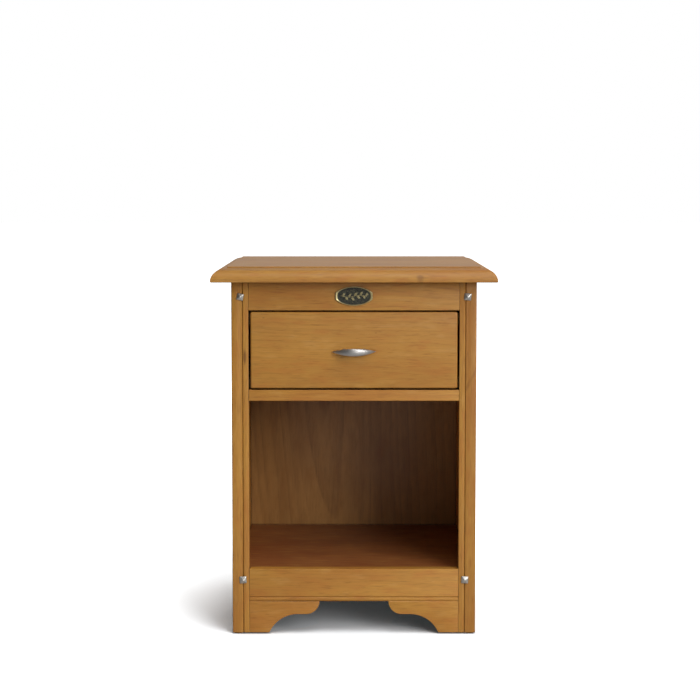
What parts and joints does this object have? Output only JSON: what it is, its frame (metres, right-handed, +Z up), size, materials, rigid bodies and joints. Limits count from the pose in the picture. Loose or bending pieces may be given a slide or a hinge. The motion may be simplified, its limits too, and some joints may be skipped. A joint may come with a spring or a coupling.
{
  "type": "nightstand",
  "caption": "Pine nightstand with an inset drawer over an open compartment, moulded top, shaped apron, metal studs and a crescent pull.",
  "frame": {"origin": "on the floor, under the centre of the top panel", "axes": "+Z up, -Y out of the front, where the drawer opens, +X to the right as seen from the front"},
  "size_m": [0.466, 0.43, 0.61],
  "materials": {
    "stained_pine": "honey-stained pine under satin lacquer",
    "raw_pine": "unstained planed pine, matt",
    "plywood": "stained pine-faced plywood, satin",
    "satin_nickel": "satin nickel plate",
    "pewter": "tumbled pewter-colour plate",
    "aged_brass": "antique brass with a dark patina in the field",
    "steel": "zinc-plated steel",
    "nylon": "brown nylon"
  },
  "bodies": {
    "carcass": {"top_panel": "stained_pine", "side_panel_left": "stained_pine", "front_stile_left": "stained_pine", "side_panel_right": "stained_pine", "front_stile_right": "stained_pine", "top_rail": "stained_pine", "drawer_divider_rail": "stained_pine", "front_apron": "stained_pine", "bottom_shelf": "stained_pine", "back_panel": "plywood", "rear_top_rail": "raw_pine", "rear_base_rail": "raw_pine", "corner_block_left": "raw_pine", "shelf_cleat_left": "raw_pine", "drawer_runner_left": "raw_pine", "drawer_guide_left": "raw_pine", "drawer_kicker_left": "raw_pine", "drawer_rear_stop_left": "raw_pine", "top_cleat_left": "raw_pine", "corner_block_right": "raw_pine", "shelf_cleat_right": "raw_pine", "drawer_runner_right": "raw_pine", "drawer_guide_right": "raw_pine", "drawer_kicker_right": "raw_pine", "drawer_rear_stop_right": "raw_pine", "top_cleat_right": "raw_pine", "drawer_stop_tab": "raw_pine", "top_screw_front_left": "steel", "top_screw_rear_left": "steel", "top_screw_front_right": "steel", "top_screw_rear_right": "steel", "glide_front_left": "nylon", "glide_rear_left": "nylon", "glide_front_right": "nylon", "glide_rear_right": "nylon", "stud_upper_left": "pewter", "stud_lower_left": "pewter", "stud_upper_right": "pewter", "stud_lower_right": "pewter", "plaque": "aged_brass"},
    "drawer": {"drawer_front": "stained_pine", "drawer_box_front": "raw_pine", "drawer_side_left": "raw_pine", "drawer_side_right": "raw_pine", "drawer_box_back": "raw_pine", "drawer_bottom": "plywood", "handle": "satin_nickel", "handle_screw_left": "steel", "handle_screw_right": "steel", "drawer_face_screw_left": "steel", "drawer_face_screw_right": "steel"}
  },
  "joints": [
    {"name": "drawer_slide", "type": "slide", "parent": "carcass", "child": "drawer", "axis": [0, -1, 0], "range_m": [0, 0.255]}
  ]
}
